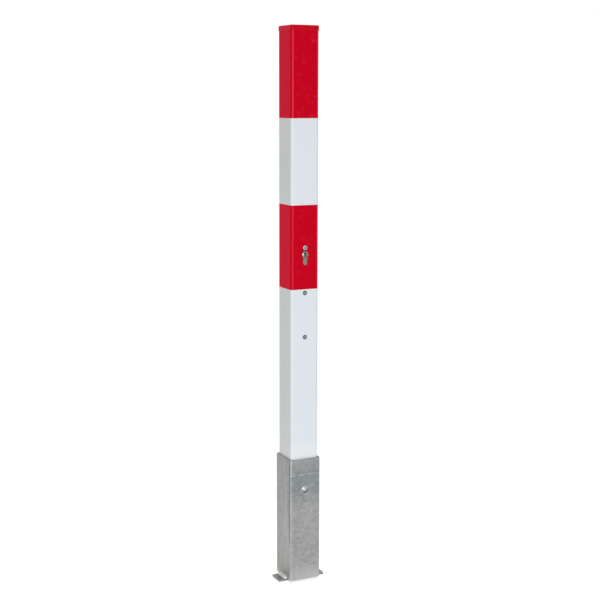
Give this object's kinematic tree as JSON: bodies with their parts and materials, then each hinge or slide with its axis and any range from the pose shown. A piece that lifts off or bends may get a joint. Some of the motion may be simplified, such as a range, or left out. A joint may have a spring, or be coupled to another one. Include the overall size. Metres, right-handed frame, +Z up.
{
  "type": "removable bollard",
  "caption": "Removable square barrier post with red and white bands, a keyed lock and a red cap, standing in its galvanised ground sleeve on a welded strap.",
  "frame": {"origin": "middle of the base strap's underside, under the axis of the post", "axes": "+Z up along the post, -Y out of the face with the lock and the bolt, +X to the right when that face is looked at"},
  "size_m": [0.12, 0.08, 1.317],
  "materials": {
    "galvanised_steel": "hot-dip galvanised, matt grey with faint mottling",
    "galvanised_weld": "hot-dip galvanised weld bead, bright",
    "white_powder_coat": "white powder coat, semi-gloss",
    "red_plastic": "moulded red plastic, satin",
    "red_film": "self-adhesive red marking film, satin",
    "nickelled_brass": "satin nickel plating on brass",
    "nickelled_plug": "satin nickel plating on brass, darker",
    "sintered_steel": "sintered steel, matt grey",
    "zinc_plated_steel": "zinc plated, satin",
    "turned_steel": "turned steel, bare",
    "black_acetal": "black acetal, matt"
  },
  "bodies": {
    "sleeve": {"ground_sleeve": "galvanised_steel", "base_strap": "galvanised_steel", "weld_left": "galvanised_weld", "weld_right": "galvanised_weld"},
    "post": {"post_tube": "white_powder_coat", "end_cap": "red_plastic", "upper_red_band": "red_film", "lower_red_band": "red_film", "cylinder_body": "nickelled_brass", "holding_screw": "zinc_plated_steel", "upper_guide": "zinc_plated_steel", "upper_screw": "zinc_plated_steel", "upper_nut": "zinc_plated_steel", "rod_guide_high": "zinc_plated_steel", "rod_bush_high": "black_acetal", "guide_rivet_high": "zinc_plated_steel", "rod_guide_low": "zinc_plated_steel", "rod_bush_low": "black_acetal", "guide_rivet_low": "zinc_plated_steel", "bolt_bush": "turned_steel", "bush_weld": "turned_steel"},
    "plug": {"cylinder_plug": "nickelled_plug", "cylinder_cam": "sintered_steel"},
    "rod": {"cam_bar": "zinc_plated_steel", "lock_rod": "zinc_plated_steel", "slot_plate": "zinc_plated_steel"},
    "bolt": {"lock_bolt": "zinc_plated_steel", "bolt_pin": "zinc_plated_steel"}
  },
  "joints": [
    {"name": "post_lift", "type": "slide", "parent": "sleeve", "child": "post", "axis": [0, 0, 1], "range_m": [0, 0.33]},
    {"name": "plug_turn", "type": "hinge", "parent": "post", "child": "plug", "pos_m": [0, -0.0075, 0.795], "axis": [0, -1, 0], "range_deg": [0, 105]},
    {"name": "rod_slide", "type": "slide", "parent": "post", "child": "rod", "axis": [0, 0, -1], "range_m": [0, 0.024]},
    {"name": "bolt_slide", "type": "slide", "parent": "post", "child": "bolt", "axis": [0, -1, 0], "range_m": [0, 0.006]}
  ],
  "couplings": [
    {"joint": "plug_turn", "follows": "rod_slide", "rad_per_m": 76.358},
    {"joint": "bolt_slide", "follows": "rod_slide", "ratio": 0.25}
  ]
}
